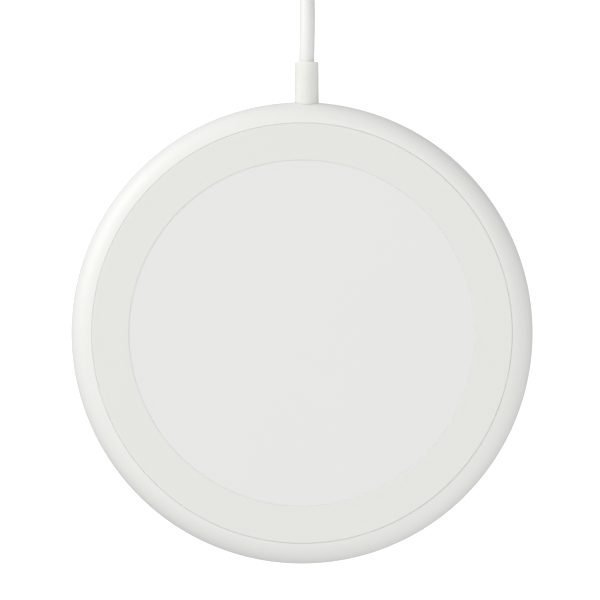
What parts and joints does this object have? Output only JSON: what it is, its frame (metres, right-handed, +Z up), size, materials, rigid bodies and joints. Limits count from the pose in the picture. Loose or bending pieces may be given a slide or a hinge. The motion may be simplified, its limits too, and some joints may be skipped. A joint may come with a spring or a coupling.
{
  "type": "wireless charging pad",
  "caption": "Flat round charging pad with a rounded rim, a soft grip ring, a plain centre plate and a captive cord with a USB plug.",
  "frame": {"origin": "centre of the pad on the table under it", "axes": "+Z up out of the charging face, +Y towards the side where the cord leaves"},
  "size_m": [0.106, 0.1718, 0.0143],
  "materials": {
    "white_housing": "satin",
    "white_base": "matte",
    "white_plate": "matte",
    "adhesive_film": "matte",
    "grip_silicone": "matte",
    "foot_silicone": "matte",
    "screw_steel": "satin",
    "amber_tape": "satin",
    "copper_wire": "satin",
    "ferrite": "matte",
    "board_laminate": "satin",
    "chip_package": "matte",
    "capacitor_ceramic": "matte",
    "weight_steel": "satin",
    "sleeve_rubber": "satin",
    "cord_jacket": "satin",
    "red_insulation": "satin",
    "black_insulation": "satin",
    "green_insulation": "satin",
    "tie_plastic": "satin",
    "plug_plastic": "satin",
    "plug_steel": "satin",
    "white_insulator": "satin",
    "gold_contact": "polished"
  },
  "bodies": {
    "root": {"upper_shell": "white_housing", "base_cover": "white_base", "center_plate": "white_plate", "plate_adhesive": "adhesive_film", "grip_ring": "grip_silicone", "foot_ring": "foot_silicone", "foot_adhesive": "adhesive_film", "case_screws": "screw_steel", "coil_tape": "amber_tape", "charging_coil": "copper_wire", "coil_leads": "copper_wire", "ferrite_plate": "ferrite", "ferrite_tape": "amber_tape", "circuit_board": "board_laminate", "board_screws": "screw_steel", "controller_chip": "chip_package", "power_chips": "chip_package", "voltage_regulator": "chip_package", "resonant_capacitors": "capacitor_ceramic", "input_capacitors": "capacitor_ceramic", "filter_inductor": "ferrite", "sense_resistor": "chip_package", "temperature_sensor": "capacitor_ceramic", "chip_passives": "capacitor_ceramic", "weight_plate": "weight_steel", "weight_tape": "adhesive_film", "strain_relief": "sleeve_rubber", "cord_tail": "cord_jacket", "positive_wire": "red_insulation", "negative_wire": "black_insulation", "data_wires": "green_insulation", "cord": "cord_jacket", "cord_coil": "cord_jacket", "cord_plug_lead": "cord_jacket", "cord_tie": "tie_plastic", "plug_handle": "plug_plastic", "plug_shell": "plug_steel", "plug_tongue": "white_insulator", "plug_contacts": "gold_contact"}
  },
  "joints": []
}
